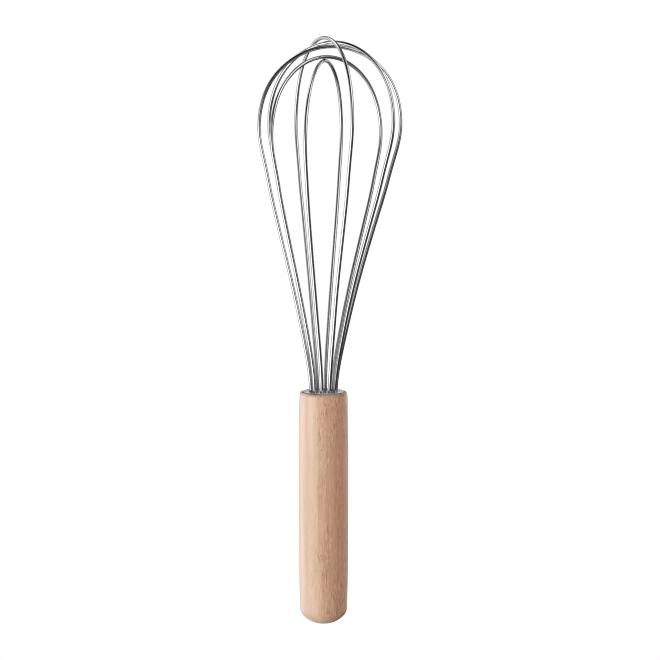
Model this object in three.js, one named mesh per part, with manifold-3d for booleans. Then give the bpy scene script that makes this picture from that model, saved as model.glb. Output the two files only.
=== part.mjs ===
// Balloon whisk: five loops of steel wire set in a turned beech handle.
// Millimetres, +Z up. The whisk stands on its butt: Z = 0 is the flat of the
// handle's end and the wire balloon is at the top.
import * as THREE from 'three';
import { mergeVertices } from 'three/addons/utils/BufferGeometryUtils.js';
import Module from 'manifold-3d';

// ---- driving dimensions ---------------------------------------------------
const HANDLE_LENGTH = 120.4; // butt flat to wooden rim
const HANDLE_SIDES = 40;
const BUTT_FLAT_RADIUS = 3.1; // flat in the middle of the rounded butt
const BUTT_ROUND_HEIGHT = 6.9; // height of the rounded butt corner
const BUTT_FULLNESS = 1.25; // 1 is an elliptical corner, larger is flatter
const BUTT_EDGE_RADIUS = 12.03; // handle radius where the rounding starts
const RIM_RADIUS = 11.5; // inner edge of the rounded rim
const PLATE_TOP = 120.7; // top face of the end plate
const FOOT_LEVEL = 120.4; // height from which the wire centrelines are listed
const PLATE_THICKNESS = 1.5;
const PLATE_RADIUS = 10.8;
const PLATE_BEVEL = 0.25;
const SEAT_RADIUS = 11.1; // counterbore that holds the plate
const BORE_RADIUS = 8.3; // blind bore that holds the wire legs
const BORE_FLOOR = 80.0; // height of the bore's floor above the butt
const FIT_GAP = 0.3; // gap left where a piece is cut by its neighbour
const WIRE_RADIUS = 0.925; // 1.85 mm wire
const WIRE_SIDES = 10;
const LEG_DEPTH = 38.0; // length of each wire leg below the foot level
const BEND_DEPTH = 8.0; // depth over which a leg turns parallel to the axis

// Handle silhouette above the rounded butt, [radius, height].
const BARREL = [
  [12.1, 9.5], [12.27, 14.5], [12.45, 21.0], [12.56, 29.0], [12.57, 46.0],
  [12.65, 66.0], [12.66, 82.0], [12.6, 100.0], [12.5, 110.0], [12.38, 116.0],
  [12.2, 118.8], [12.06, 119.65], [11.84, 120.15],
];

// Wire centrelines, [x, y, z] with z measured from the foot level. Each
// runs from its first foot up over the crown and down to its second foot.
// The feet stand on one ring, ten of them, 36 degrees apart.
const LOOP_1 = [ // outermost loop, highest crown
  [-3.02, 5.67, 0.00], [-3.77, 6.94, 13.32], [-4.84, 9.18, 26.50], [-5.96, 11.77, 39.61],
  [-7.08, 14.49, 52.70], [-8.27, 17.46, 65.73], [-9.52, 20.58, 78.71], [-10.80, 23.73, 91.68],
  [-12.08, 26.84, 104.67], [-12.52, 27.94, 109.85], [-12.94, 29.00, 115.05], [-13.37, 30.13, 120.23],
  [-13.80, 31.30, 125.40], [-14.14, 32.32, 130.61], [-14.30, 32.93, 135.89], [-14.22, 33.00, 141.21],
  [-13.91, 32.53, 146.50], [-13.41, 31.56, 151.70], [-12.69, 30.05, 156.75], [-11.74, 27.93, 161.53],
  [-10.54, 25.20, 165.94], [-9.11, 21.91, 169.86], [-7.49, 18.15, 173.24], [-5.68, 13.99, 176.01],
  [-3.72, 9.51, 178.10], [-1.64, 4.80, 179.43], [0.51, -0.03, 179.93], [2.68, -4.87, 179.56],
  [4.79, -9.59, 178.33], [6.78, -14.08, 176.30], [8.60, -18.24, 173.53], [10.20, -21.98, 170.11],
  [11.55, -25.22, 166.12], [12.61, -27.90, 161.65], [13.40, -29.97, 156.82], [13.92, -31.45, 151.74],
  [14.23, -32.41, 146.52], [14.35, -32.89, 141.22], [14.28, -32.83, 135.91], [14.00, -32.23, 130.63],
  [13.58, -31.22, 125.42], [13.12, -30.05, 120.25], [12.69, -28.92, 115.07], [12.29, -27.86, 109.87],
  [11.88, -26.76, 104.68], [10.64, -23.67, 91.69], [9.30, -20.53, 78.72], [7.94, -17.43, 65.75],
  [6.71, -14.47, 52.72], [5.68, -11.73, 39.64], [4.70, -9.17, 26.51], [3.73, -6.91, 13.33],
  [3.02, -5.67, 0.00],
];
const LOOP_2 = [ // second loop
  [-5.78, 2.82, 0.00], [-6.79, 3.49, 13.10], [-8.52, 4.72, 26.09], [-10.51, 6.10, 39.03],
  [-12.69, 7.52, 51.94], [-15.14, 9.01, 64.78], [-17.77, 10.55, 77.59], [-20.37, 12.10, 90.40],
  [-22.89, 13.60, 103.24], [-23.79, 14.12, 108.43], [-24.66, 14.63, 113.63], [-25.61, 15.16, 118.81],
  [-26.59, 15.72, 123.98], [-27.42, 16.17, 129.19], [-27.84, 16.40, 134.47], [-27.71, 16.32, 139.76],
  [-27.04, 15.93, 144.99], [-25.90, 15.28, 150.12], [-24.24, 14.33, 155.06], [-22.04, 13.08, 159.70],
  [-19.31, 11.53, 163.96], [-16.11, 9.69, 167.75], [-12.50, 7.61, 171.02], [-8.56, 5.33, 173.72],
  [-4.35, 2.87, 175.78], [0.06, 0.29, 177.13], [4.60, -2.37, 177.67], [9.16, -5.04, 177.37],
  [13.61, -7.66, 176.21], [17.85, -10.14, 174.24], [21.77, -12.44, 171.54], [25.30, -14.50, 168.18],
  [28.33, -16.28, 164.23], [30.79, -17.72, 159.77], [32.64, -18.81, 154.93], [33.90, -19.54, 149.85],
  [34.62, -19.97, 144.62], [34.86, -20.12, 139.33], [34.59, -19.97, 134.05], [33.80, -19.52, 128.83],
  [32.65, -18.86, 123.71], [31.36, -18.12, 118.63], [30.11, -17.41, 113.53], [28.92, -16.73, 108.42],
  [27.69, -16.03, 103.31], [24.30, -14.10, 90.56], [20.87, -12.16, 77.83], [17.51, -10.25, 65.07],
  [14.41, -8.42, 52.24], [11.65, -6.70, 39.31], [9.17, -5.06, 26.31], [7.01, -3.60, 13.24],
  [5.78, -2.82, 0.00],
];
const LOOP_3 = [ // third loop, close under the second
  [-6.33, -1.12, 0.00], [-7.57, -1.07, 12.95], [-9.79, -0.92, 25.77], [-12.32, -0.79, 38.54],
  [-14.99, -0.74, 51.28], [-17.88, -0.79, 63.97], [-20.88, -0.90, 76.64], [-23.84, -1.02, 89.31],
  [-26.69, -1.14, 102.01], [-27.70, -1.19, 107.15], [-28.68, -1.23, 112.30], [-29.75, -1.27, 117.43],
  [-30.88, -1.32, 122.55], [-31.86, -1.36, 127.70], [-32.41, -1.38, 132.90], [-32.38, -1.37, 138.14],
  [-31.76, -1.33, 143.34], [-30.59, -1.28, 148.45], [-28.84, -1.19, 153.38], [-26.43, -1.08, 158.03],
  [-23.36, -0.95, 162.27], [-19.72, -0.79, 166.03], [-15.58, -0.61, 169.23], [-11.04, -0.41, 171.84],
  [-6.19, -0.20, 173.80], [-1.11, 0.02, 175.05], [4.10, 0.25, 175.52], [9.31, 0.48, 175.17],
  [14.41, 0.70, 174.00], [19.27, 0.91, 172.06], [23.78, 1.11, 169.40], [27.83, 1.28, 166.10],
  [31.33, 1.43, 162.21], [34.19, 1.56, 157.82], [36.36, 1.65, 153.06], [37.84, 1.71, 148.04],
  [38.73, 1.74, 142.87], [39.06, 1.75, 137.65], [38.79, 1.74, 132.42], [37.91, 1.70, 127.25],
  [36.62, 1.64, 122.17], [35.16, 1.57, 117.14], [33.74, 1.51, 112.10], [32.39, 1.45, 107.03],
  [31.00, 1.39, 101.98], [27.19, 1.22, 89.41], [23.41, 1.06, 76.83], [19.76, 0.91, 64.20],
  [16.35, 0.83, 51.52], [13.24, 0.84, 38.75], [10.34, 0.94, 25.93], [7.77, 1.08, 13.05],
  [6.33, 1.12, 0.00],
];
const LOOP_4 = [ // fourth loop
  [-4.46, -4.62, 0.00], [-5.31, -5.34, 12.61], [-7.11, -6.58, 25.08], [-9.23, -8.03, 37.48],
  [-11.51, -9.64, 49.84], [-13.92, -11.48, 62.13], [-16.37, -13.46, 74.40], [-18.80, -15.47, 86.67],
  [-21.11, -17.44, 98.96], [-21.92, -18.15, 103.95], [-22.71, -18.84, 108.95], [-23.56, -19.57, 113.94],
  [-24.46, -20.32, 118.91], [-25.24, -20.95, 123.92], [-25.70, -21.30, 128.99], [-25.71, -21.25, 134.10],
  [-25.30, -20.84, 139.17], [-24.49, -20.10, 144.15], [-23.24, -18.99, 148.98], [-21.48, -17.50, 153.53],
  [-19.21, -15.62, 157.70], [-16.48, -13.39, 161.39], [-13.35, -10.86, 164.53], [-9.89, -8.09, 167.05],
  [-6.17, -5.12, 168.89], [-2.28, -2.00, 170.00], [1.69, 1.19, 170.32], [5.63, 4.39, 169.86],
  [9.47, 7.53, 168.63], [13.12, 10.52, 166.71], [16.54, 13.32, 164.14], [19.66, 15.87, 161.00],
  [22.42, 18.09, 157.33], [24.75, 19.93, 153.19], [26.61, 21.36, 148.65], [27.98, 22.36, 143.84],
  [28.90, 22.98, 138.85], [29.40, 23.25, 133.78], [29.43, 23.16, 128.68], [28.97, 22.69, 123.61],
  [28.13, 21.96, 118.63], [27.13, 21.11, 113.69], [26.13, 20.30, 108.75], [25.14, 19.53, 103.80],
  [24.10, 18.73, 98.86], [21.20, 16.53, 86.64], [18.23, 14.31, 74.45], [15.30, 12.13, 62.24],
  [12.53, 10.12, 49.96], [10.00, 8.35, 37.59], [7.62, 6.76, 25.17], [5.58, 5.41, 12.66],
  [4.46, 4.62, 0.00],
];
const LOOP_5 = [ // innermost loop, close under the fourth
  [-0.89, -6.36, 0.00], [-1.25, -7.64, 12.49], [-2.09, -9.96, 24.82], [-3.05, -12.59, 37.08],
  [-4.02, -15.43, 49.29], [-4.96, -18.55, 61.43], [-5.88, -21.82, 73.54], [-6.75, -25.16, 85.63],
  [-7.55, -28.44, 97.74], [-7.82, -29.63, 102.71], [-8.07, -30.79, 107.69], [-8.33, -32.02, 112.65],
  [-8.59, -33.28, 117.61], [-8.79, -34.36, 122.60], [-8.87, -34.98, 127.68], [-8.78, -34.98, 132.79],
  [-8.55, -34.39, 137.87], [-8.17, -33.24, 142.84], [-7.66, -31.50, 147.62], [-6.99, -29.10, 152.09],
  [-6.17, -26.09, 156.14], [-5.24, -22.53, 159.69], [-4.20, -18.52, 162.69], [-3.09, -14.15, 165.11],
  [-1.91, -9.51, 166.90], [-0.68, -4.67, 168.02], [0.57, 0.27, 168.42], [1.82, 5.21, 168.07],
  [3.05, 10.06, 166.98], [4.23, 14.70, 165.20], [5.34, 19.07, 162.78], [6.34, 23.07, 159.75],
  [7.22, 26.61, 156.17], [7.94, 29.59, 152.08], [8.51, 31.95, 147.57], [8.90, 33.66, 142.77],
  [9.15, 34.77, 137.79], [9.25, 35.34, 132.70], [9.21, 35.30, 127.59], [9.02, 34.65, 122.52],
  [8.73, 33.55, 117.53], [8.39, 32.27, 112.59], [8.06, 31.02, 107.63], [7.75, 29.85, 102.66],
  [7.43, 28.63, 97.70], [6.54, 25.32, 85.60], [5.59, 21.95, 73.53], [4.63, 18.65, 61.43],
  [3.68, 15.50, 49.29], [2.77, 12.64, 37.09], [1.90, 9.98, 24.83], [1.17, 7.65, 12.49],
  [0.89, 6.36, 0.00],
];

// ---- helpers --------------------------------------------------------------
const wasm = await Module();
wasm.setup();
const { Manifold, Mesh } = wasm;

const weld = (geometry) => {
  const g = geometry.index ? geometry.toNonIndexed() : geometry;
  g.deleteAttribute('normal');
  g.deleteAttribute('uv');
  const merged = mergeVertices(g, 1e-5);
  const p = merged.attributes.position;
  const idx = Array.from(merged.index.array);
  const a = new THREE.Vector3(), b = new THREE.Vector3(), c = new THREE.Vector3();
  const kept = [];
  let volume = 0;
  for (let i = 0; i < idx.length; i += 3) {
    const [i0, i1, i2] = [idx[i], idx[i + 1], idx[i + 2]];
    if (i0 === i1 || i1 === i2 || i2 === i0) continue;
    kept.push(i0, i1, i2);
    a.fromBufferAttribute(p, i0);
    b.fromBufferAttribute(p, i1);
    c.fromBufferAttribute(p, i2);
    volume += a.dot(b.cross(c)) / 6;
  }
  if (volume < 0) for (let i = 0; i < kept.length; i += 3) [kept[i + 1], kept[i + 2]] = [kept[i + 2], kept[i + 1]];
  merged.setIndex(kept);
  return merged;
};

const toSolid = (geometry) => {
  const g = weld(geometry);
  const mesh = new Mesh({
    numProp: 3,
    vertProperties: new Float32Array(g.attributes.position.array),
    triVerts: new Uint32Array(g.index.array),
  });
  mesh.merge();
  return new Manifold(mesh);
};

const toGeometry = (solid) => {
  const mesh = solid.getMesh();
  const stride = mesh.numProp;
  const n = mesh.vertProperties.length / stride;
  const xyz = new Float32Array(n * 3);
  for (let i = 0; i < n; i++) for (let k = 0; k < 3; k++) xyz[3 * i + k] = mesh.vertProperties[i * stride + k];
  const g = new THREE.BufferGeometry();
  g.setAttribute('position', new THREE.BufferAttribute(xyz, 3));
  g.setIndex(Array.from(mesh.triVerts));
  return g;
};

// A closed profile [radius, height] turned about the Z axis.
const turned = (profile, sides) => {
  const closed = [...profile, profile[0]].map(([r, z]) => new THREE.Vector2(r, z));
  const g = new THREE.LatheGeometry(closed, sides);
  g.rotateX(Math.PI / 2);
  return g;
};

// One station per listed point, so the crown is divided more finely than the
// nearly straight legs.
class WirePath extends THREE.CatmullRomCurve3 {
  getUtoTmapping(u) {
    return u;
  }
}

// The piece of a leg below the foot level: it leaves the foot along the wire's
// own direction and turns parallel to the axis.
const buriedLeg = (foot, next, depth) => {
  const slope = [(foot[0] - next[0]) / (next[2] - foot[2]), (foot[1] - next[1]) / (next[2] - foot[2])];
  const at = (d) => {
    const t = Math.min(d, BEND_DEPTH);
    const run = t - (t * t) / (2 * BEND_DEPTH);
    return [foot[0] + slope[0] * run, foot[1] + slope[1] * run, FOOT_LEVEL - d];
  };
  return [2, 4.5, BEND_DEPTH, 14, 26, depth].map(at);
};

const lift = ([x, y, z]) => [x, y, z + FOOT_LEVEL];
const toPath = (list) => new WirePath(list.map((p) => new THREE.Vector3(...p)), false, 'centripetal');

const roundBar = (list, radius, sides) => {
  const ring = [];
  for (let i = 0; i < sides; i++) {
    const a = ((i + 0.5) / sides) * Math.PI * 2;
    ring.push(new THREE.Vector2(radius * Math.cos(a), radius * Math.sin(a)));
  }
  return new THREE.ExtrudeGeometry(new THREE.Shape(ring), {
    steps: list.length - 1,
    extrudePath: toPath(list),
    bevelEnabled: false,
  });
};

const feetOf = (loop) => [
  [loop[0], loop[1]],
  [loop[loop.length - 1], loop[loop.length - 2]],
];

const wireLine = (loop) => {
  const [[f0, n0], [f1, n1]] = feetOf(loop);
  return [...buriedLeg(f0, n0, LEG_DEPTH).reverse(), ...loop.map(lift), ...buriedLeg(f1, n1, LEG_DEPTH)];
};

// ---- materials ------------------------------------------------------------
const wireSteel = new THREE.MeshStandardMaterial({ name: 'wire_steel', color: 0xc3c6c9, metalness: 1.0, roughness: 0.18 });
const plateSteel = new THREE.MeshStandardMaterial({ name: 'plate_steel', color: 0x9da1a6, metalness: 1.0, roughness: 0.35 });
const beech = new THREE.MeshStandardMaterial({ name: 'beech', color: 0xd3ae8e, metalness: 0.0, roughness: 0.6 });
const resin = new THREE.MeshStandardMaterial({ name: 'resin', color: 0x8d8678, metalness: 0.0, roughness: 0.45 });

const group = new THREE.Group();
group.name = 'balloon_whisk';
const add = (name, geometry, material) => {
  const g = weld(geometry);
  g.computeVertexNormals();
  const mesh = new THREE.Mesh(g, material);
  mesh.name = name;
  group.add(mesh);
};

// ---- handle: turned outside, plate seat and blind bore inside ---------------
const butt = [[0, 0]];
const roundSteps = 8;
for (let i = 0; i <= roundSteps; i++) {
  const a = (i / roundSteps) * (Math.PI / 2);
  butt.push([
    BUTT_FLAT_RADIUS + (BUTT_EDGE_RADIUS - BUTT_FLAT_RADIUS) * Math.sin(a) ** BUTT_FULLNESS,
    BUTT_ROUND_HEIGHT * (1 - Math.cos(a) ** BUTT_FULLNESS),
  ]);
}
const plateSeat = PLATE_TOP - PLATE_THICKNESS;
add(
  'handle',
  turned(
    [
      ...butt,
      ...BARREL,
      [RIM_RADIUS, HANDLE_LENGTH],
      [SEAT_RADIUS, HANDLE_LENGTH],
      [SEAT_RADIUS, plateSeat],
      [BORE_RADIUS, plateSeat],
      [BORE_RADIUS, BORE_FLOOR],
      [0, BORE_FLOOR],
    ],
    HANDLE_SIDES,
  ),
  beech,
);

// ---- end plate: a disc with ten wire holes ----------------------------------
const loops = [LOOP_1, LOOP_2, LOOP_3, LOOP_4, LOOP_5];
let plate = toSolid(
  turned(
    [
      [0, plateSeat],
      [PLATE_RADIUS, plateSeat],
      [PLATE_RADIUS, PLATE_TOP - PLATE_BEVEL],
      [PLATE_RADIUS - PLATE_BEVEL, PLATE_TOP],
      [0, PLATE_TOP],
    ],
    HANDLE_SIDES,
  ),
);
let plug = toSolid(
  turned(
    [
      [0, BORE_FLOOR + FIT_GAP],
      [BORE_RADIUS - FIT_GAP, BORE_FLOOR + FIT_GAP],
      [BORE_RADIUS - FIT_GAP, plateSeat - FIT_GAP],
      [0, plateSeat - FIT_GAP],
    ],
    24,
  ),
);
for (const loop of loops) {
  for (const [foot, next] of feetOf(loop)) {
    const leg = buriedLeg(foot, next, LEG_DEPTH + FIT_GAP);
    const above = lift(foot);
    const ahead = leg[0].map((v, k) => 2 * above[k] - v);
    const channel = toSolid(roundBar([ahead, above, ...leg], WIRE_RADIUS + FIT_GAP, 12));
    plate = plate.subtract(channel);
    plug = plug.subtract(channel);
  }
}
add('end_plate', toGeometry(plate), plateSteel);
add('epoxy_plug', toGeometry(plug), resin);

// ---- five wire loops, each one continuous wire ------------------------------
loops.forEach((loop, i) => add(`wire_loop_${i + 1}`, roundBar(wireLine(loop), WIRE_RADIUS, WIRE_SIDES), wireSteel));

export default group;
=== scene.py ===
"""Balloon whisk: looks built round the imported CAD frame. Metres, +Z up, Z = 0 at the handle's butt."""

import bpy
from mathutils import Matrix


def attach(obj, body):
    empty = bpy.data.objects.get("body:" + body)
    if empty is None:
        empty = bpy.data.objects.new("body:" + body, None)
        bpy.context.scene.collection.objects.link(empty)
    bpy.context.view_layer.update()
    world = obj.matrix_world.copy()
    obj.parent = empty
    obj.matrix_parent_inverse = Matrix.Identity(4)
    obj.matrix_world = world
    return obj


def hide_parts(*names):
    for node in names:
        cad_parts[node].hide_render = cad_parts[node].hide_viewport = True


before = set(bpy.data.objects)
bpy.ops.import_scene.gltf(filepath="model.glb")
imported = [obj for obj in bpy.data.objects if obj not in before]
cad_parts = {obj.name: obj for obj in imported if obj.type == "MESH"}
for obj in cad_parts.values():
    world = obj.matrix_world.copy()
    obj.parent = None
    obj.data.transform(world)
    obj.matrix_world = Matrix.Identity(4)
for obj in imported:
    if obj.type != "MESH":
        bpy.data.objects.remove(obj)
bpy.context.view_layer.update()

import math

import bmesh
import bpy
import numpy as np
from mathutils import Vector

MM = 0.001
PLATE_TOP = 120.7
FOOT_LEVEL = 120.4
PLATE_THICKNESS = 1.5
PLATE_RADIUS = 10.8
WIRE_RADIUS = 0.925
LEG_DEPTH = 38.0
BEND_DEPTH = 8.0

# Wire centrelines in mm, z from the foot level, one foot to the other.
LOOPS_MM = [
    [
        (-3.017, 5.674, 0.000), (-3.238, 5.982, 5.062), (-3.543, 6.507, 10.102), (-3.905, 7.199, 15.118), (-4.304, 8.014, 20.112),
        (-4.723, 8.916, 25.091), (-5.149, 9.870, 30.058), (-5.572, 10.849, 35.022), (-5.991, 11.842, 39.982), (-6.411, 12.853, 44.940),
        (-6.835, 13.890, 49.891), (-7.269, 14.961, 54.834), (-7.714, 16.070, 59.768), (-8.170, 17.213, 64.693), (-8.637, 18.383, 69.611),
        (-9.111, 19.569, 74.525), (-9.589, 20.760, 79.436), (-10.070, 21.950, 84.348), (-10.556, 23.142, 89.259), (-11.050, 24.343, 94.166),
        (-11.544, 25.539, 99.075), (-12.017, 26.687, 103.997), (-12.447, 27.751, 108.943), (-12.845, 28.766, 113.901), (-13.249, 29.824, 118.849),
        (-13.665, 30.944, 123.783), (-14.033, 31.990, 128.737), (-14.263, 32.746, 133.750), (-14.285, 33.038, 138.816), (-14.090, 32.823, 143.882),
        (-13.706, 32.145, 148.896), (-13.140, 31.007, 153.809), (-12.370, 29.349, 158.541), (-11.378, 27.125, 162.991), (-10.169, 24.354, 167.064),
        (-8.759, 21.092, 170.684), (-7.168, 17.413, 173.794), (-5.418, 13.389, 176.339), (-3.533, 9.089, 178.256), (-1.543, 4.585, 179.475),
        (0.511, -0.029, 179.931), (2.578, -4.648, 179.595), (4.599, -9.164, 178.478), (6.517, -13.478, 176.625), (8.283, -17.503, 174.095),
        (9.856, -21.162, 170.954), (11.204, -24.381, 167.274), (12.303, -27.101, 163.135), (13.143, -29.279, 158.632), (13.734, -30.907, 153.863),
        (14.110, -32.031, 148.929), (14.311, -32.710, 143.904), (14.343, -32.934, 138.835), (14.187, -32.652, 133.771), (13.860, -31.904, 128.762),
        (13.434, -30.863, 123.812), (12.997, -29.745, 118.879), (12.598, -28.686, 113.930), (12.222, -27.672, 108.970), (11.821, -26.612, 104.022),
        (11.373, -25.470, 99.096), (10.891, -24.280, 94.184), (10.393, -23.083, 89.276), (9.886, -21.893, 84.367), (9.373, -20.707, 79.458),
        (8.856, -19.523, 74.548), (8.342, -18.347, 69.636), (7.839, -17.186, 64.720), (7.356, -16.048, 59.796), (6.901, -14.939, 54.863),
        (6.476, -13.863, 49.920), (6.079, -12.820, 44.968), (5.703, -11.809, 40.007), (5.336, -10.822, 35.041), (4.969, -9.854, 30.071),
        (4.596, -8.908, 25.098), (4.221, -8.005, 20.116), (3.856, -7.179, 15.121), (3.517, -6.474, 10.105), (3.228, -5.951, 5.064),
        (3.017, -5.674, 0.000),
    ],
    [
        (-5.776, 2.817, 0.000), (-6.040, 2.973, 5.023), (-6.466, 3.260, 10.029), (-7.015, 3.645, 15.016), (-7.652, 4.100, 19.988),
        (-8.353, 4.601, 24.946), (-9.093, 5.126, 29.896), (-9.853, 5.656, 34.843), (-10.631, 6.185, 39.786), (-11.437, 6.719, 44.725),
        (-12.280, 7.263, 49.657), (-13.167, 7.818, 54.580), (-14.098, 8.386, 59.493), (-15.067, 8.965, 64.397), (-16.062, 9.552, 69.295),
        (-17.068, 10.143, 74.191), (-18.074, 10.735, 79.086), (-19.070, 11.326, 83.984), (-20.060, 11.916, 88.883), (-21.048, 12.506, 93.782),
        (-22.025, 13.087, 98.684), (-22.952, 13.634, 103.600), (-23.805, 14.132, 108.535), (-24.637, 14.611, 113.475), (-25.531, 15.119, 118.402),
        (-26.469, 15.647, 123.318), (-27.292, 16.106, 128.261), (-27.785, 16.375, 133.260), (-27.799, 16.371, 138.290), (-27.316, 16.087, 143.288),
        (-26.386, 15.554, 148.203), (-25.011, 14.773, 152.978), (-23.154, 13.719, 157.532), (-20.808, 12.383, 161.775), (-18.006, 10.781, 165.631),
        (-14.802, 8.938, 169.042), (-11.257, 6.890, 171.963), (-7.430, 4.666, 174.351), (-3.373, 2.300, 176.150), (0.855, -0.174, 177.284),
        (5.178, -2.709, 177.683), (9.503, -5.246, 177.306), (13.726, -7.723, 176.164), (17.753, -10.085, 174.297), (21.501, -12.281, 171.765),
        (24.892, -14.266, 168.627), (27.848, -15.996, 164.946), (30.300, -17.431, 160.798), (32.203, -18.546, 156.279), (33.555, -19.341, 151.501),
        (34.406, -19.845, 146.569), (34.816, -20.092, 141.561), (34.780, -20.080, 136.531), (34.268, -19.791, 131.536), (33.337, -19.259, 126.620),
        (32.162, -18.584, 121.774), (30.937, -17.880, 116.943), (29.771, -17.213, 112.093), (28.640, -16.568, 107.232), (27.461, -15.896, 102.386),
        (26.202, -15.181, 97.566), (24.901, -14.443, 92.761), (23.594, -13.704, 87.958), (22.295, -12.970, 83.151), (21.003, -12.240, 78.342),
        (19.720, -11.514, 73.530), (18.454, -10.794, 68.713), (17.214, -10.082, 63.888), (16.012, -9.381, 59.052), (14.858, -8.695, 54.201),
        (13.757, -8.024, 49.337), (12.707, -7.369, 44.459), (11.706, -6.729, 39.569), (10.742, -6.101, 34.669), (9.809, -5.483, 29.763),
        (8.905, -4.877, 24.849), (8.046, -4.299, 19.924), (7.261, -3.770, 14.982), (6.586, -3.319, 10.015), (6.072, -2.988, 5.020),
        (5.776, -2.817, 0.000),
    ],
    [
        (-6.328, -1.116, 0.000), (-6.636, -1.119, 4.964), (-7.162, -1.094, 9.909), (-7.856, -1.049, 14.834), (-8.671, -0.992, 19.740),
        (-9.571, -0.930, 24.631), (-10.520, -0.870, 29.513), (-11.489, -0.819, 34.392), (-12.470, -0.780, 39.268), (-13.470, -0.754, 44.140),
        (-14.500, -0.742, 49.006), (-15.562, -0.744, 53.865), (-16.657, -0.759, 58.716), (-17.780, -0.787, 63.562), (-18.921, -0.824, 68.403),
        (-20.070, -0.867, 73.242), (-21.217, -0.913, 78.081), (-22.355, -0.959, 82.923), (-23.484, -1.005, 87.767), (-24.609, -1.052, 92.611),
        (-25.714, -1.100, 97.461), (-26.757, -1.146, 102.323), (-27.710, -1.188, 107.205), (-28.638, -1.228, 112.091), (-29.644, -1.270, 116.962),
        (-30.718, -1.313, 121.818), (-31.692, -1.351, 126.695), (-32.328, -1.373, 131.626), (-32.450, -1.372, 136.596), (-32.033, -1.347, 141.550),
        (-31.122, -1.301, 146.437), (-29.704, -1.233, 151.201), (-27.714, -1.142, 155.755), (-25.125, -1.025, 159.996), (-21.972, -0.886, 163.835),
        (-18.324, -0.726, 167.206), (-14.264, -0.549, 170.068), (-9.870, -0.357, 172.384), (-5.213, -0.154, 174.105), (-0.363, 0.057, 175.172),
        (4.589, 0.273, 175.526), (9.538, 0.490, 175.137), (14.374, 0.701, 174.015), (18.994, 0.902, 172.195), (23.303, 1.089, 169.727),
        (27.215, 1.258, 166.667), (30.643, 1.405, 163.072), (33.507, 1.527, 159.014), (35.755, 1.621, 154.582), (37.378, 1.688, 149.885),
        (38.430, 1.729, 145.026), (38.975, 1.749, 140.085), (39.004, 1.747, 135.113), (38.477, 1.721, 130.170), (37.455, 1.674, 125.304),
        (36.138, 1.615, 120.509), (34.752, 1.554, 115.732), (33.428, 1.496, 110.938), (32.146, 1.439, 106.133), (30.812, 1.379, 101.342),
        (29.394, 1.316, 96.575), (27.933, 1.252, 91.821), (26.476, 1.190, 87.066), (25.037, 1.129, 82.305), (23.616, 1.069, 77.539),
        (22.212, 1.009, 72.768), (20.830, 0.952, 67.990), (19.477, 0.901, 63.205), (18.160, 0.861, 58.408), (16.885, 0.833, 53.601),
        (15.656, 0.820, 48.781), (14.471, 0.823, 43.951), (13.325, 0.839, 39.111), (12.209, 0.868, 34.264), (11.115, 0.909, 29.412),
        (10.045, 0.958, 24.555), (9.020, 1.013, 19.688), (8.079, 1.065, 14.805), (7.271, 1.106, 9.898), (6.663, 1.127, 4.962),
        (6.328, 1.116, 0.000),
    ],
    [
        (-4.464, -4.622, 0.000), (-4.622, -4.803, 4.833), (-4.996, -5.105, 9.649), (-5.535, -5.499, 14.442), (-6.191, -5.957, 19.215),
        (-6.926, -6.460, 23.972), (-7.711, -6.992, 28.718), (-8.525, -7.543, 33.457), (-9.360, -8.115, 38.190), (-10.216, -8.711, 42.916),
        (-11.094, -9.338, 47.634), (-11.992, -9.998, 52.343), (-12.909, -10.691, 57.045), (-13.838, -11.414, 61.739), (-14.777, -12.160, 66.428),
        (-15.717, -12.920, 71.114), (-16.655, -13.686, 75.800), (-17.584, -14.454, 80.488), (-18.507, -15.222, 85.176), (-19.424, -15.994, 89.865),
        (-20.320, -16.760, 94.559), (-21.162, -17.488, 99.269), (-21.930, -18.160, 104.000), (-22.673, -18.810, 108.738), (-23.473, -19.497, 113.461),
        (-24.325, -20.211, 118.172), (-25.100, -20.843, 122.907), (-25.619, -21.244, 127.700), (-25.755, -21.309, 132.535), (-25.493, -21.030, 137.358),
        (-24.873, -20.445, 142.120), (-23.879, -19.553, 146.769), (-22.450, -18.321, 151.222), (-20.560, -16.734, 155.381), (-18.228, -14.815, 159.158),
        (-15.499, -12.598, 162.478), (-12.431, -10.127, 165.283), (-9.083, -7.447, 167.518), (-5.522, -4.600, 169.131), (-1.821, -1.636, 170.076),
        (1.940, 1.395, 170.318), (5.676, 4.428, 169.850), (9.313, 7.400, 168.699), (12.789, 10.250, 166.915), (16.054, 12.928, 164.557),
        (19.062, 15.383, 161.674), (21.759, 17.564, 158.304), (24.088, 19.417, 154.492), (26.001, 20.899, 150.305), (27.476, 21.996, 145.832),
        (28.530, 22.733, 141.169), (29.201, 23.154, 136.396), (29.477, 23.260, 131.568), (29.310, 23.024, 126.739), (28.727, 22.473, 121.968),
        (27.866, 21.727, 117.265), (26.904, 20.928, 112.590), (25.958, 20.167, 107.904), (25.025, 19.438, 103.212), (24.033, 18.679, 98.536),
        (22.957, 17.862, 93.889), (21.834, 17.015, 89.258), (20.703, 16.164, 84.630), (19.577, 15.320, 79.999), (18.454, 14.480, 75.367),
        (17.333, 13.642, 70.734), (16.217, 12.812, 66.098), (15.117, 11.999, 61.456), (14.043, 11.211, 56.803), (13.003, 10.457, 52.137),
        (12.000, 9.740, 47.457), (11.031, 9.060, 42.764), (10.090, 8.411, 38.061), (9.170, 7.788, 33.350), (8.269, 7.186, 28.634),
        (7.395, 6.608, 23.909), (6.572, 6.065, 19.170), (5.830, 5.575, 14.413), (5.202, 5.154, 9.633), (4.731, 4.828, 4.827),
        (4.464, 4.622, 0.000),
    ],
    [
        (-0.894, -6.363, 0.000), (-0.942, -6.660, 4.808), (-1.106, -7.209, 9.591), (-1.356, -7.944, 14.346), (-1.664, -8.803, 19.076),
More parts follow.
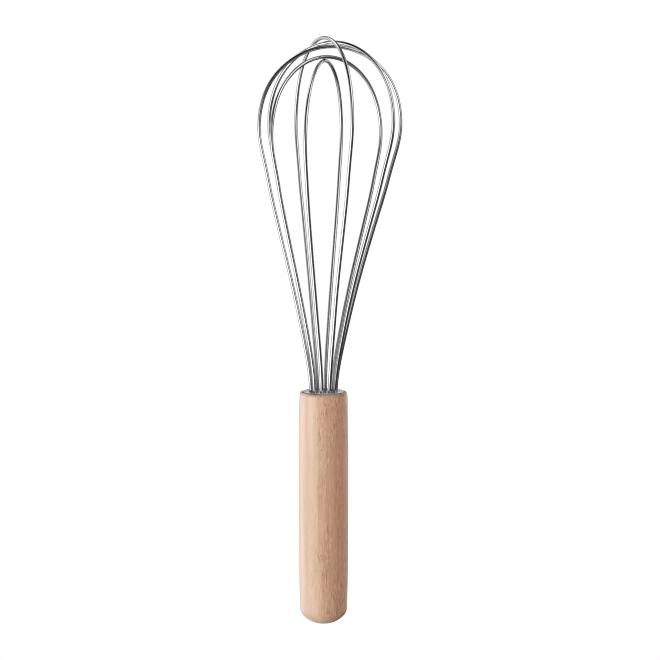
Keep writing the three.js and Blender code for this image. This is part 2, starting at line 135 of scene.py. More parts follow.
        (-2.009, -9.743, 23.789), (-2.373, -10.728, 28.491), (-2.744, -11.737, 33.187), (-3.116, -12.769, 37.879), (-3.488, -13.830, 42.563),
        (-3.858, -14.931, 47.239), (-4.224, -16.078, 51.904), (-4.586, -17.267, 56.559), (-4.943, -18.489, 61.205), (-5.297, -19.733, 65.847),
        (-5.648, -20.989, 70.485), (-5.994, -22.254, 75.121), (-6.333, -23.528, 79.755), (-6.664, -24.811, 84.387), (-6.987, -26.100, 89.018),
        (-7.296, -27.370, 93.655), (-7.580, -28.577, 98.310), (-7.831, -29.695, 102.990), (-8.067, -30.785, 107.677), (-8.310, -31.938, 112.349),
        (-8.556, -33.131, 117.010), (-8.759, -34.190, 121.705), (-8.863, -34.884, 126.469), (-8.826, -35.048, 131.281), (-8.648, -34.665, 136.078),
        (-8.346, -33.786, 140.803), (-7.919, -32.401, 145.395), (-7.360, -30.455, 149.763), (-6.668, -27.938, 153.807), (-5.858, -24.893, 157.446),
        (-4.945, -21.393, 160.625), (-3.949, -17.522, 163.308), (-2.885, -13.353, 165.468), (-1.769, -8.951, 167.069), (-0.612, -4.385, 168.065),
        (0.568, 0.269, 168.417), (1.750, 4.925, 168.107), (2.912, 9.497, 167.145), (4.031, 13.904, 165.564), (5.086, 18.075, 163.402),
        (6.056, 21.939, 160.699), (6.923, 25.420, 157.488), (7.664, 28.438, 153.811), (8.264, 30.922, 149.732), (8.713, 32.834, 145.336),
        (9.020, 34.188, 140.726), (9.199, 35.038, 135.989), (9.257, 35.392, 131.187), (9.181, 35.199, 126.377), (8.977, 34.479, 121.620),
        (8.686, 33.397, 116.934), (8.366, 32.187, 112.282), (8.060, 31.018, 107.618), (7.769, 29.912, 102.938), (7.470, 28.778, 98.265),
        (7.144, 27.555, 93.616), (6.796, 26.269, 88.986), (6.440, 24.968, 84.361), (6.080, 23.674, 79.734), (5.715, 22.389, 75.105),
        (5.347, 21.111, 70.475), (4.977, 19.842, 65.842), (4.609, 18.587, 61.205), (4.244, 17.356, 56.561), (3.883, 16.158, 51.908),
        (3.527, 15.002, 47.245), (3.175, 13.889, 42.571), (2.830, 12.817, 37.886), (2.490, 11.776, 33.194), (2.157, 10.759, 28.497),
        (1.834, 9.768, 23.793), (1.532, 8.822, 19.079), (1.264, 7.955, 14.347), (1.052, 7.214, 9.591), (0.919, 6.661, 4.808),
        (0.894, 6.363, 0.000),
    ],
]


# ------------------------------------------------------------------ camera ---
scene = bpy.context.scene
FOCAL_PX, PITCH = 2600.0, math.radians(7.05)
cam_data = bpy.data.cameras.new("camera")
cam_data.sensor_width = 36.0
cam_data.lens = 36.0 * FOCAL_PX / 660.0
cam_data.clip_start, cam_data.clip_end = 0.05, 50.0
cam = bpy.data.objects.new("camera", cam_data)
scene.collection.objects.link(cam)
AIM = Vector((0.51 * 6.5, 0.0, FOOT_LEVEL + 0.51 * 62.3)) * MM
DISTANCE = 0.51 * 2600.0 * MM
cam.location = AIM + Vector((0.0, -math.cos(PITCH), math.sin(PITCH))) * DISTANCE
cam.rotation_euler = (math.pi / 2 - PITCH, 0.0, 0.0)
scene.camera = cam
scene.view_settings.view_transform = "Standard"
scene.view_settings.look = "None"
scene.view_settings.exposure = 0.0
scene.view_settings.gamma = 1.0
scene.cycles.filter_width = 1.1


# ----------------------------------------------------------- node utilities ---
class Nodes:
    """Short-hand for writing a procedural material."""

    def __init__(self, name, world=False):
        self.block = bpy.data.worlds.new(name) if world else bpy.data.materials.new(name)
        self.block.use_nodes = True
        self.tree = self.block.node_tree
        self.tree.nodes.clear()

    def node(self, kind, **props):
        n = self.tree.nodes.new(kind)
        for k, v in props.items():
            setattr(n, k, v)
        return n

    def link(self, a, b):
        self.tree.links.new(a, b)

    def put(self, value, socket):
        if hasattr(value, "is_output") or isinstance(value, bpy.types.NodeSocket):
            self.link(value, socket)
        else:
            socket.default_value = value

    def math(self, op, a, b=None, c=None, clamp=False):
        n = self.node("ShaderNodeMath", operation=op, use_clamp=clamp)
        self.put(a, n.inputs[0])
        if b is not None:
            self.put(b, n.inputs[1])
        if c is not None:
            self.put(c, n.inputs[2])
        return n.outputs[0]

    def ramp(self, fac, stops, interpolation="LINEAR"):
        n = self.node("ShaderNodeValToRGB")
        r = n.color_ramp
        r.interpolation = interpolation
        while len(r.elements) < len(stops):
            r.elements.new(0.5)
        for e, (pos, col) in zip(r.elements, stops):
            e.position = pos
            e.color = col if len(col) == 4 else (*col, 1.0)
        self.link(fac, n.inputs["Fac"])
        return n.outputs["Color"]

    def span(self, value, lo, hi, a=0.0, b=1.0, smooth=True):
        n = self.node("ShaderNodeMapRange", interpolation_type="SMOOTHSTEP" if smooth else "LINEAR")
        self.put(value, n.inputs["Value"])
        for key, v in (("From Min", lo), ("From Max", hi), ("To Min", a), ("To Max", b)):
            n.inputs[key].default_value = v
        return n.outputs["Result"]

    def noise(self, vector, scale, detail=2.0, rough=0.5, distortion=0.0, dims="3D"):
        n = self.node("ShaderNodeTexNoise", noise_dimensions=dims)
        n.inputs["Scale"].default_value = scale
        n.inputs["Detail"].default_value = detail
        n.inputs["Roughness"].default_value = rough
        n.inputs["Distortion"].default_value = distortion
        self.link(vector, n.inputs["Vector"])
        return n.outputs["Fac"]

    def scaled(self, vector, scale=(1, 1, 1), location=(0, 0, 0), rotation=(0, 0, 0)):
        n = self.node("ShaderNodeMapping")
        n.inputs["Scale"].default_value = scale
        n.inputs["Location"].default_value = location
        n.inputs["Rotation"].default_value = rotation
        self.link(vector, n.inputs["Vector"])
        return n.outputs["Vector"]

    def mix(self, fac, a, b, blend="MIX"):
        n = self.node("ShaderNodeMix", data_type="RGBA", blend_type=blend)
        self.put(fac, n.inputs[0])
        for v, s in ((a, n.inputs[6]), (b, n.inputs[7])):
            self.put((*v, 1.0) if isinstance(v, tuple) and len(v) == 3 else v, s)
        return n.outputs[2]

    def bump(self, height, strength, distance, normal=None):
        n = self.node("ShaderNodeBump")
        n.inputs["Strength"].default_value = strength
        n.inputs["Distance"].default_value = distance
        self.link(height, n.inputs["Height"])
        if normal is not None:
            self.link(normal, n.inputs["Normal"])
        return n.outputs["Normal"]

    def finish(self, **sockets):
        p = self.node("ShaderNodeBsdfPrincipled")
        for k, v in sockets.items():
            self.put(v, p.inputs[k.replace("_", " ")])
        out = self.node("ShaderNodeOutputMaterial")
        self.link(p.outputs[0], out.inputs["Surface"])
        return self.block


# ---------------------------------------------------------------- materials ---
def wire_material():
    m = Nodes("wire_steel_look")
    along = m.node("ShaderNodeAttribute", attribute_name="along").outputs["Fac"]
    turn = m.node("ShaderNodeAttribute", attribute_name="turn").outputs["Vector"]
    here = m.node("ShaderNodeTexCoord").outputs["Object"]
    # drawing lines: fine along the wire, packed round it
    lane = m.node("ShaderNodeVectorMath", operation="MULTIPLY")
    m.link(turn, lane.inputs[0])
    lane.inputs[1].default_value = (6.0, 6.0, 1.0)
    lines = m.noise(lane.outputs[0], 3.2, 3.0, 0.6)
    cloud = m.noise(here, 55.0, 3.0, 0.55)
    smear = m.noise(here, 240.0, 2.0, 0.5)
    rough = m.math("ADD", m.span(cloud, 0.35, 0.7, 0.0, 0.02), m.span(lines, 0.35, 0.75, 0.035, 0.055))
    rough = m.math("ADD", rough, m.span(smear, 0.55, 0.8, 0.0, 0.03))
    tint = m.mix(m.span(cloud, 0.3, 0.75), (0.80, 0.805, 0.815), (0.70, 0.705, 0.72))
    tint = m.mix(m.span(smear, 0.6, 0.85, 0.0, 0.35), tint, (0.60, 0.60, 0.61))
    # painted shade: the wires are darkened towards the foot, where they crowd together, and more on their
    # +X-facing side
    height = m.node("ShaderNodeSeparateXYZ")
    m.link(here, height.inputs[0])
    facing = m.node("ShaderNodeSeparateXYZ")
    m.link(m.node("ShaderNodeNewGeometry").outputs["Normal"], facing.inputs[0])
    foot = m.span(height.outputs[2], 0.1215, 0.128, 1.0, 0.0)
    painted_side_shade = m.math("MULTIPLY", m.span(height.outputs[2], 0.122, 0.165, 1.0, 0.0), m.span(facing.outputs[0], 0.0, 0.55))
    tint = m.mix(m.math("MULTIPLY", painted_side_shade, 0.50), tint, (0.16, 0.16, 0.165))
    # painted shade: darker still over the last few millimetres above the foot
    tint = m.mix(m.math("MULTIPLY", foot, 0.50), tint, (0.30, 0.30, 0.305))
    normal = m.bump(lines, 0.012, 0.00002)
    return m.finish(Base_Color=tint, Metallic=1.0, Roughness=rough, Normal=normal)


def plate_material():
    m = Nodes("plate_steel_look")
    here = m.node("ShaderNodeTexCoord").outputs["Object"]
    grain = m.noise(m.scaled(here, (1.0, 9.0, 1.0), rotation=(0, 0, 0.5)), 420.0, 3.0, 0.6)
    patch = m.noise(here, 180.0, 3.0, 0.55)
    pits = m.node("ShaderNodeTexVoronoi", feature="F1")
    pits.inputs["Scale"].default_value = 900.0
    m.link(here, pits.inputs["Vector"])
    pit = m.span(pits.outputs["Distance"], 0.08, 0.3, 1.0, 0.0)
    pit = m.math("MULTIPLY", pit, m.span(patch, 0.45, 0.6))
    rough = m.math("ADD", m.span(grain, 0.3, 0.7, 0.22, 0.38), m.math("MULTIPLY", pit, 0.15))
    place = m.node("ShaderNodeSeparateXYZ")
    m.link(here, place.inputs[0])
    # painted highlight: the front (-Y) part of the disc is painted much lighter
    painted_front_highlight = m.span(place.outputs[1], -0.0066, -0.0032, 1.0, 0.0)
    tint = m.mix(m.span(patch, 0.35, 0.7), (0.41, 0.415, 0.43), (0.33, 0.335, 0.35))
    tint = m.mix(m.math("MULTIPLY", painted_front_highlight, 0.90), tint, (0.86, 0.87, 0.88))
    # painted shade: the bevelled edge of the disc, and every face not turned up, is painted dark
    level = m.node("ShaderNodeSeparateXYZ")
    m.link(m.node("ShaderNodeNewGeometry").outputs["Normal"], level.inputs[0])
    tint = m.mix(m.span(level.outputs[2], 0.55, 0.92, 0.75, 0.0), tint, (0.13, 0.13, 0.135))
    tint = m.mix(m.math("MULTIPLY", pit, 0.5), tint, (0.22, 0.22, 0.23))
    normal = m.bump(grain, 0.25, 0.00006)
    normal = m.bump(patch, 0.2, 0.0004, normal)
    return m.finish(Base_Color=tint, Metallic=1.0, Roughness=rough, Normal=normal)


def resin_material():
    m = Nodes("resin_look")
    here = m.node("ShaderNodeTexCoord").outputs["Object"]
    cloud = m.noise(here, 320.0, 3.0, 0.55)
    tint = m.mix(m.span(cloud, 0.35, 0.7), (0.20, 0.185, 0.16), (0.13, 0.12, 0.10))
    rough = m.span(cloud, 0.3, 0.7, 0.25, 0.45)
    return m.finish(Base_Color=tint, Roughness=rough, Normal=m.bump(cloud, 0.3, 0.0003))


def beech_material():
    m = Nodes("beech_look")
    here = m.node("ShaderNodeTexCoord").outputs["Object"]
    part = m.node("ShaderNodeSeparateXYZ")
    m.link(here, part.inputs[0])
    # growth rings: cylinders round a pith beside the blank, slightly askew
    warp = m.noise(m.scaled(here, (1.0, 1.0, 0.22)), 26.0, 3.0, 0.55)
    pith = m.node("ShaderNodeSeparateXYZ")
    m.link(m.scaled(here, (1, 1, 1), (0.030, 0.052, 0.0), (0.020, -0.034, 0.0)), pith.inputs[0])
    r2 = m.math("ADD", m.math("MULTIPLY", pith.outputs[0], pith.outputs[0]), m.math("MULTIPLY", pith.outputs[1], pith.outputs[1]))
    radius = m.math("ADD", m.math("SQRT", r2), m.math("MULTIPLY", warp, 0.0042))
    ring = m.math("FRACT", m.math("DIVIDE", radius, 0.0026))
    late = m.math("MULTIPLY", m.span(ring, 0.35, 0.95), m.span(ring, 0.955, 1.0, 1.0, 0.0))
    # broad streaks along the grain
    streak = m.noise(m.scaled(here, (1.0, 1.0, 0.045)), 210.0, 4.0, 0.6)
    band = m.noise(m.scaled(here, (1.0, 1.0, 0.09)), 62.0, 3.0, 0.5)
    # fibres
    fibre = m.noise(m.scaled(here, (1.0, 1.0, 0.016)), 1250.0, 3.0, 0.6)
    thread = m.noise(m.scaled(here, (1.0, 1.0, 0.012), (0.2, 0.5, 0.3)), 4600.0, 2.0, 0.6)
    # the flat-sawn faces show the ray ends, the quarter-sawn faces between them are plainer
    across = m.math("ADD", m.math("MULTIPLY", part.outputs[0], 46.0), m.math("MULTIPLY", part.outputs[1], -65.0))
    face = m.span(m.math("ABSOLUTE", across), 0.25, 0.85, 0.18, 1.0)
    # rays end on: short dark dashes
    pore_n = m.noise(m.scaled(here, (1.0, 1.0, 0.135)), 2300.0, 1.0, 0.5)
    pore_field = m.noise(m.scaled(here, (1.0, 1.0, 0.3)), 150.0, 2.0, 0.5)
    pore = m.math("MULTIPLY", m.span(pore_n, 0.56, 0.68), m.span(pore_field, 0.34, 0.56))
    pore = m.math("MULTIPLY", pore, face)
    long_n = m.noise(m.scaled(here, (1.0, 1.0, 0.13), (0.1, 0.6, 0.2)), 1350.0, 1.0, 0.5)
    pore = m.math("MAXIMUM", pore, m.math("MULTIPLY", m.math("MULTIPLY", m.span(long_n, 0.63, 0.72), m.span(pore_field, 0.45, 0.60)), face))
    # small lighter lens-shaped flecks
    ray_n = m.noise(m.scaled(here, (1.0, 1.0, 0.14), (0.7, 0.3, 0.1)), 1800.0, 1.0, 0.5)
    ray = m.math("MULTIPLY", m.span(ray_n, 0.57, 0.70), face)

    colour = m.mix(m.span(band, 0.34, 0.66), (0.665, 0.425, 0.285), (0.585, 0.350, 0.225))
    colour = m.mix(m.math("MULTIPLY", late, 0.26), colour, (0.520, 0.300, 0.185))
    # painted shade: the +X side of the blank, the shaded side, is painted a little darker and redder
    painted_shade_side = m.math("ADD", part.outputs[0], m.math("MULTIPLY", m.math("SUBTRACT", warp, 0.5), 0.006))
    colour = m.mix(m.span(painted_shade_side, -0.0005, 0.0060, 0.0, 0.55), colour, m.mix(1.0, colour, (1.02, 0.90, 0.88), blend="MULTIPLY"))
    colour = m.mix(m.math("MULTIPLY", m.span(streak, 0.42, 0.72, 0.0, 0.60), face), colour, (0.510, 0.300, 0.190))
    colour = m.mix(m.span(streak, 0.25, 0.44, 0.30, 0.0), colour, (0.740, 0.530, 0.380))
    colour = m.mix(m.math("MULTIPLY", m.span(fibre, 0.45, 0.72, 0.0, 0.50), face), colour, (0.430, 0.235, 0.140))
    colour = m.mix(m.math("MULTIPLY", m.span(thread, 0.42, 0.70, 0.0, 0.34), face), colour, (0.400, 0.220, 0.130))
    colour = m.mix(m.math("MULTIPLY", ray, 0.42), colour, (0.800, 0.590, 0.430))
    colour = m.mix(m.math("MULTIPLY", pore, 0.66), colour, (0.270, 0.130, 0.070))
    # the lower half of the blank is a little more yellow
    tone = m.math("MULTIPLY", m.span(part.outputs[2], 0.060, 0.092, 1.0, 0.0), m.span(part.outputs[0], 0.004, 0.009, 1.0, 0.5))
    tone = m.math("MULTIPLY", tone, m.math("MULTIPLY", m.span(part.outputs[2], 0.012, 0.030), m.span(part.outputs[0], -0.0112, -0.0070, 0.25, 1.0)))
    colour = m.mix(tone, colour, m.mix(1.0, colour, (0.985, 0.985, 0.925), blend="MULTIPLY"))
    # the turned rim is darker, where end grain shows and partly as painted shade; the butt end shows darker
    # end-grain pores, is painted lighter towards -X (painted highlight) and darker at its lower +X edge (painted
    # shade)
    rim = m.span(part.outputs[2], 0.1186, 0.1200)
    # painted highlight: the butt end is paled, most on its -X side
    butt = m.math("MULTIPLY", m.span(part.outputs[2], 0.0014, 0.0070, 1.0, 0.0), m.span(part.outputs[0], -0.004, 0.006, 1.0, 0.35))
    low = m.math("DIVIDE", m.math("MAXIMUM", m.math("SUBTRACT", 0.0069, part.outputs[2]), 0.0), 0.0069)
    wide = m.math("DIVIDE", part.outputs[0], 0.01203)
    turn = m.math("SQRT", m.math("ADD", m.math("MULTIPLY", low, low), m.math("MULTIPLY", wide, wide)))
    # painted shade: the lower +X edge of the butt end is darkened
    butt_edge_painted_shade = m.math("MULTIPLY", m.span(turn, 0.66, 0.90), m.span(part.outputs[0], 0.0000, 0.0066))
    butt_edge_painted_shade = m.math("MULTIPLY", butt_edge_painted_shade, m.span(low, 0.0, 0.22))
    tool = m.noise(m.scaled(here, (1.0, 1.0, 0.6)), 1500.0, 2.0, 0.6)
    # end grain on the rim, partly painted shade along its edge
    colour = m.mix(m.math("MULTIPLY", rim, 0.50), colour, (0.520, 0.255, 0.115))
    colour = m.mix(m.math("MULTIPLY", rim, m.span(tool, 0.50, 0.62, 0.0, 0.7)), colour, (0.230, 0.095, 0.045))
    # painted shade: the rim is darker still on its +X side
    colour = m.mix(m.math("MULTIPLY", rim, m.span(part.outputs[0], 0.0060, 0.0115, 0.0, 0.55)), colour, (0.200, 0.085, 0.055))
    # painted highlight on the butt end
    colour = m.mix(m.math("MULTIPLY", butt, 0.36), colour, (0.820, 0.640, 0.560))
    # end grain: fine open pores, packed along the rings
    end_n = m.noise(here, 2100.0, 2.0, 0.6)
    end = m.math("MULTIPLY", m.span(end_n, 0.50, 0.64), m.span(part.outputs[2], 0.0008, 0.0052, 1.0, 0.0))
    colour = m.mix(m.math("MULTIPLY", end, m.span(ring, 0.10, 0.80, 0.18, 0.42)), colour, (0.420, 0.255, 0.170))
    # painted shade at the butt's lower +X edge
    colour = m.mix(m.math("MULTIPLY", butt_edge_painted_shade, 0.42), colour, (0.190, 0.135, 0.090))

    rough = m.math("ADD", m.span(fibre, 0.3, 0.8, 0.46, 0.60), m.math("MULTIPLY", pore, 0.12))
    relief = m.math("SUBTRACT", m.math("MULTIPLY", m.math("ADD", fibre, m.math("MULTIPLY", thread, 0.5)), 0.35), m.math("MULTIPLY", pore, 0.9))
    relief = m.math("SUBTRACT", relief, m.math("MULTIPLY", late, 0.10))
    normal = m.bump(relief, 0.45, 0.00014)
    return m.finish(
        Base_Color=colour,
        Roughness=rough,
        Normal=normal,
        Coat_Weight=m.math("SUBTRACT", 0.45, m.math("MULTIPLY", butt_edge_painted_shade, 0.25)),
        Coat_Roughness=0.42,
        Sheen_Weight=0.10,
        Sheen_Roughness=0.45,
    )


WIRE_MAT, PLATE_MAT, RESIN_MAT, BEECH_MAT = wire_material(), plate_material(), resin_material(), beech_material()


# ----------------------------------------------------------------- geometry ---
def new_object(name, bm, material, smooth=True):
    me = bpy.data.meshes.new(name)
    bm.to_mesh(me)
    bm.free()
    ob = bpy.data.objects.new(name, me)
    scene.collection.objects.link(ob)
    me.materials.append(material)
    for p in me.polygons:
        p.use_smooth = smooth
    return ob


def spline(points, count):
    """Natural cubic through the points, by chord length, at even steps."""
    p = np.asarray(points, float)
    t = np.concatenate([[0.0], np.cumsum(np.linalg.norm(np.diff(p, axis=0), axis=1))])
    n = len(p)
    h = np.diff(t)
    a = np.zeros((n, n))
    b = np.zeros((n, 3))
    a[0, 0] = a[-1, -1] = 1.0
    for i in range(1, n - 1):
        a[i, i - 1], a[i, i], a[i, i + 1] = h[i - 1], 2 * (h[i - 1] + h[i]), h[i]
        b[i] = 3 * ((p[i + 1] - p[i]) / h[i] - (p[i] - p[i - 1]) / h[i - 1])
    c = np.linalg.solve(a, b)
    d = np.diff(c, axis=0) / (3 * h[:, None])
    s = np.diff(p, axis=0) / h[:, None] - h[:, None] * (2 * c[:-1] + c[1:]) / 3
    q = np.linspace(0.0, t[-1], count)
    k = np.clip(np.searchsorted(t, q, side="right") - 1, 0, n - 2)
    u = (q - t[k])[:, None]
    return p[k] + s[k] * u + c[k] * u**2 + d[k] * u**3, q


def buried_leg(foot, ahead, depth=LEG_DEPTH):
    rise = ahead[2] - foot[2]
    sx, sy = (foot[0] - ahead[0]) / rise, (foot[1] - ahead[1]) / rise
    out = []
    for d in (2.0, 4.5, BEND_DEPTH, 11.0, 16.0, 22.0, 29.0, depth):
        t = min(d, BEND_DEPTH)
        run = t - t * t / (2 * BEND_DEPTH)
        out.append((foot[0] + sx * run, foot[1] + sy * run, FOOT_LEVEL - d))
    return out


def wire(name, loop, sides=20, steps=340):
    pts = [(x, y, z + FOOT_LEVEL) for x, y, z in loop]
    line = buried_leg(pts[0], pts[1])[::-1] + pts + buried_leg(pts[-1], pts[-2])
    c, along = spline(line, steps)
    tan = np.gradient(c, axis=0)
    tan /= np.linalg.norm(tan, axis=1)[:, None]
    nrm = np.cross(tan[0], (0.3, 0.9, 0.1))
    nrm /= np.linalg.norm(nrm)
    bm = bmesh.new()
    la = bm.verts.layers.float.new("along")
    lt = bm.verts.layers.float_vector.new("turn")
    rings = []
    for i in range(steps):
        nrm = nrm - tan[i] * nrm.dot(tan[i])
        nrm /= np.linalg.norm(nrm)
        bi = np.cross(tan[i], nrm)
        ring = []
        for k in range(sides):
            a = 2 * math.pi * k / sides
            v = bm.verts.new((c[i] + WIRE_RADIUS * (math.cos(a) * nrm + math.sin(a) * bi)) * MM)
            v[la] = along[i] * MM
            v[lt] = (math.cos(a), math.sin(a), along[i] * 0.05)
            ring.append(v)
        rings.append(ring)
    for r0, r1 in zip(rings, rings[1:]):
        for k in range(sides):
            bm.faces.new((r0[k], r0[(k + 1) % sides], r1[(k + 1) % sides], r1[k]))
    bm.faces.new(rings[0][::-1])
    bm.faces.new(rings[-1])
    bmesh.ops.recalc_face_normals(bm, faces=bm.faces)
    return new_object(name, bm, WIRE_MAT)


def turned(name, profile, material, sides=128):
    """A closed body of revolution from (radius, height) in mm, first and last on the axis."""
    bm = bmesh.new()
    rings = []
    for r, z in profile:
        if r < 1e-6:
            rings.append([bm.verts.new((0, 0, z * MM))])
        else:
            rings.append(
                [
                    bm.verts.new((r * MM * math.cos(2 * math.pi * k / sides), r * MM * math.sin(2 * math.pi * k / sides), z * MM))
                    for k in range(sides)
                ]
            )
    for a, b in zip(rings, rings[1:]):
        for k in range(sides):
            j = (k + 1) % sides
            q = []
            for v in (a[k % len(a)], a[j % len(a)], b[j % len(b)], b[k % len(b)]):
                if v not in q:
                    q.append(v)
            if len(q) > 2:
                bm.faces.new(q)
    bmesh.ops.recalc_face_normals(bm, faces=bm.faces)
    return new_object(name, bm, material)


def arc(cx, cz, rx, rz, a0, a1, n):
    return [
        (cx + rx * math.cos(math.radians(a0 + (a1 - a0) * i / n)), cz + rz * math.sin(math.radians(a0 + (a1 - a0) * i / n)))
        for i in range(n + 1)
    ]


# handle: the silhouette resampled with a smooth curve, then the rim, seat and bore
side = [
    (12.03, 6.9), (12.10, 9.5), (12.27, 14.5), (12.45, 21.0), (12.55, 29.0), (12.57, 37.0), (12.58, 46.0), (12.62, 56.0),
    (12.65, 66.0), (12.66, 82.0), (12.63, 92.0), (12.59, 101.0), (12.50, 110.0), (12.38, 116.0), (12.20, 118.8),
]
barrel, _ = spline([(r, z, 0.0) for r, z in side], 72)
butt = [
    (3.1 + 8.93 * math.sin(math.radians(90 * i / 28)) ** 1.25, 6.9 * (1 - max(math.cos(math.radians(90 * i / 28)), 0.0) ** 1.25))
    for i in range(28)
]
outer = butt + [(p[0], p[1]) for p in barrel]
rim = [(12.16, 119.15), (12.10, 119.45), (12.03, 119.70), (11.94, 119.93), (11.83, 120.12), (11.70, 120.27), (11.55, 120.36), (11.40, 120.39)]
inner = [(11.20, 120.38), (11.13, 120.33), (11.1, 120.2), (11.1, 119.25), (11.05, 119.2), (8.3, 119.2), (8.3, 80.0), (0.0, 80.0)]
handle = turned("handle_wood", [(0.0, 0.0)] + outer + rim + inner, BEECH_MAT, 144)
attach(handle, "root")
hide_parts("handle")

# wires
wires = []
for i, loop in enumerate(LOOPS_MM):
    w = wire("whisk_wire_%d" % (i + 1), loop)
    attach(w, "root")
    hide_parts("wire_loop_%d" % (i + 1))
    wires.append(w)

# end plate: bevelled disc, the ten wire holes cut with a clear edge
plate_bot = PLATE_TOP - PLATE_THICKNESS
disc = (
    [(0.0, plate_bot), (PLATE_RADIUS - 0.1, plate_bot), (PLATE_RADIUS, plate_bot + 0.1)]
    + arc(PLATE_RADIUS - 0.28, PLATE_TOP - 0.28, 0.28, 0.28, 0.0, 90.0, 5)
    + [(PLATE_RADIUS - 0.9, PLATE_TOP), (8.9, PLATE_TOP), (5.0, PLATE_TOP), (0.0, PLATE_TOP)]
)
plate = turned("end_plate_disc", disc, PLATE_MAT, 128)
cutters = []
for loop in LOOPS_MM:
    for foot, ahead in ((loop[0], loop[1]), (loop[-1], loop[-2])):
        rise = ahead[2]
        sx, sy = (foot[0] - ahead[0]) / rise, (foot[1] - ahead[1]) / rise
        bm = bmesh.new()
        rings = []
        for d in (-1.5, 3.0):
            run = d - (d * d / (2 * BEND_DEPTH) if d > 0 else 0.0)
            cx, cy = foot[0] + sx * run, foot[1] + sy * run
            rings.append(
                [
                    bm.verts.new(
                        (
                            (cx + 1.06 * math.cos(2 * math.pi * k / 28)) * MM,
                            (cy + 1.06 * math.sin(2 * math.pi * k / 28)) * MM,
                            (FOOT_LEVEL - d) * MM,
                        )
                    )
                    for k in range(28)
                ]
            )
        for k in range(28):
            j = (k + 1) % 28
            bm.faces.new((rings[0][k], rings[0][j], rings[1][j], rings[1][k]))
        bm.faces.new(rings[0])
        bm.faces.new(rings[1][::-1])
        bmesh.ops.recalc_face_normals(bm, faces=bm.faces)
        cutters.append(new_object("cutter", bm, PLATE_MAT))
for c in cutters:
    mod = plate.modifiers.new("hole", "BOOLEAN")
    mod.operation, mod.solver, mod.object = "DIFFERENCE", "EXACT", c
dg = bpy.context.evaluated_depsgraph_get()
cut = bpy.data.meshes.new_from_object(plate.evaluated_get(dg))
plate.modifiers.clear()
plate.data = cut
for c in cutters:
    bpy.data.objects.remove(c, do_unlink=True)
for p in plate.data.polygons:
    p.use_smooth = False
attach(plate, "root")
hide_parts("end_plate")

# the hidden plug keeps its CAD shape
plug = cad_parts["epoxy_plug"]
for s in plug.material_slots:
    s.material = RESIN_MAT

# -------------------------------------------------------------------- stage ---
floor_mat = Nodes("pale_floor")
em = floor_mat.node("ShaderNodeEmission")
em.inputs["Color"].default_value = (1, 1, 1, 1)
em.inputs["Strength"].default_value = 1.0
fo = floor_mat.node("ShaderNodeOutputMaterial")
floor_mat.link(em.outputs[0], fo.inputs["Surface"])
bm = bmesh.new()
bmesh.ops.create_grid(bm, x_segments=4, y_segments=4, size=6.0)
floor = new_object("floor", bm, floor_mat.block)
floor.location = (0, 0, -0.0015)
floor.visible_diffuse = floor.visible_glossy = floor.visible_transmission = False
floor.visible_shadow = False

# soft boxes that light the handle and the plate only; the wires take theirs from the surround
def soft_box(name, azimuth, elevation, distance, width, height, power, colour=(1, 1, 1), receivers=None):
    la = bpy.data.lights.new(name, "AREA")
    la.shape, la.size, la.size_y, la.energy, la.color = "RECTANGLE", width, height, power, colour
    ob = bpy.data.objects.new(name, la)
    scene.collection.objects.link(ob)
    a, e = math.radians(azimuth), math.radians(elevation)
    back = Vector((math.sin(a) * math.cos(e), -math.cos(a) * math.cos(e), math.sin(e)))
    ob.location = Vector((0, 0, 0.06)) + back * distance
    ob.rotation_mode = "QUATERNION"
    ob.rotation_quaternion = back.to_track_quat("Z", "Y")
    if receivers is not None:
        ob.light_linking.receiver_collection = receivers
    return ob


wood_only = bpy.data.collections.new("lit_wood")
wood_only.objects.link(handle)
soft_box("key", -60, 6, 1.1, 0.40, 1.0, 7.5, (0.865, 1.08, 1.15), receivers=wood_only)
soft_box("edge", -118, 4, 1.1, 0.6, 1.0, 4.1, (0.81, 0.955, 1.18), receivers=wood_only)
soft_box("fill", 34, 12, 1.3, 0.9, 0.9, 4.7, (1.12, 0.86, 0.755), receivers=wood_only)
soft_box("bounce", -25, -48, 1.0, 1.2, 0.8, 1.3, (1.0, 0.98, 0.95), receivers=wood_only)
soft_box("side", 128, 6, 1.2, 0.6, 1.0, 1.3, (1.0, 0.96, 0.93), receivers=wood_only)
soft_box("back", 168, 14, 1.2, 0.8, 1.0, 4.2, (1.0, 0.98, 0.95), receivers=wood_only)
plate_only = bpy.data.collections.new("lit_plate")
plate_only.objects.link(plate)
soft_box("plate_top", -10, 80, 0.9, 0.5, 0.5, 2.2, receivers=plate_only)
soft_box("plate_back", 165, 22, 0.9, 0.9, 0.35, 0.65, receivers=plate_only)

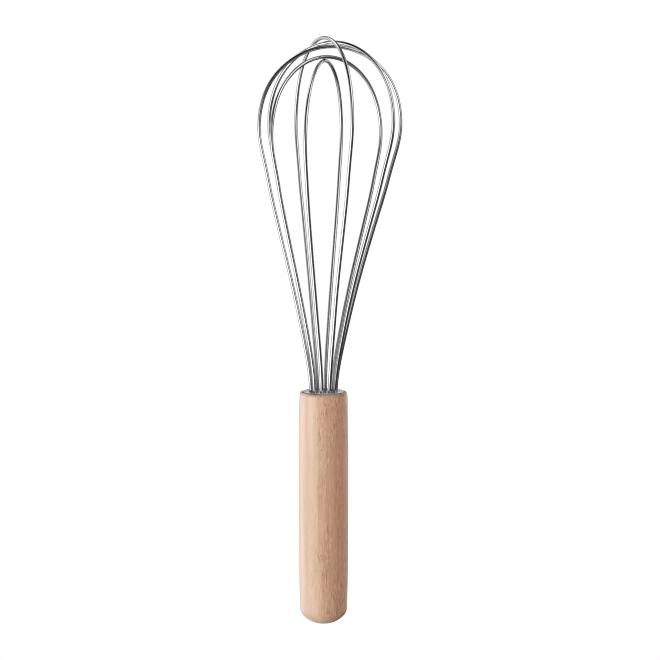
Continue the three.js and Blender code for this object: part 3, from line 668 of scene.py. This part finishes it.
# studio surround: white sweep for the camera, soft cards for light and reflection
w = Nodes("studio", world=True)
d = w.node("ShaderNodeTexCoord").outputs["Generated"]
base = 0.012
cards = [
    # direction (x, y, z), tightness, strength
    ((-0.685, -0.584, -0.436), 10.0, 1.67),
    ((0.767, -0.471, 0.436), 10.0, 0.31),
    ((-0.353, 0.935, -0.036), 4.0, 0.52),
    ((-0.661, -0.738, -0.136), 24.0, 0.96),
    ((0.694, 0.712, 0.107), 24.0, 1.50),
    ((-0.609, 0.410, 0.679), 24.0, 1.52),
    ((-0.514, -0.116, -0.850), 10.0, 0.83),
    ((-0.957, 0.289, 0.007), 24.0, 0.53),
    ((0.768, -0.626, 0.136), 24.0, 1.03),
    ((0.526, -0.035, 0.850), 10.0, 0.52),
    ((0.378, -0.775, 0.507), 24.0, 1.32),
    ((-0.796, 0.596, -0.107), 24.0, 0.61),
    ((0.619, -0.274, 0.736), 24.0, 0.90),
    ((0.450, -0.380, -0.808), 13.0, 0.30),
]
total = None
for direction, tight, strength in cards:
    dot = w.node("ShaderNodeVectorMath", operation="DOT_PRODUCT")
    w.link(d, dot.inputs[0])
    v = Vector(direction).normalized()
    dot.inputs[1].default_value = v
    e = w.math("EXPONENT", w.math("MULTIPLY", w.math("SUBTRACT", dot.outputs["Value"], 1.0), tight))
    term = w.math("MULTIPLY", e, strength)
    total = term if total is None else w.math("ADD", total, term)
total = w.math("MAXIMUM", w.math("ADD", total, base), 0.008)
total = w.math("MULTIPLY", w.math("POWER", total, 1.19), 1.08)
bg_env = w.node("ShaderNodeBackground")
w.link(total, bg_env.inputs["Strength"])
bg_env.inputs["Color"].default_value = (1, 1, 1, 1)
bg_cam = w.node("ShaderNodeBackground")
bg_cam.inputs["Strength"].default_value = 1.0
bg_cam.inputs["Color"].default_value = (1, 1, 1, 1)
lp = w.node("ShaderNodeLightPath")
mixw = w.node("ShaderNodeMixShader")
w.link(lp.outputs["Is Camera Ray"], mixw.inputs[0])
w.link(bg_env.outputs[0], mixw.inputs[1])
w.link(bg_cam.outputs[0], mixw.inputs[2])
wo = w.node("ShaderNodeOutputWorld")
w.link(mixw.outputs[0], wo.inputs["Surface"])
scene.world = w.block
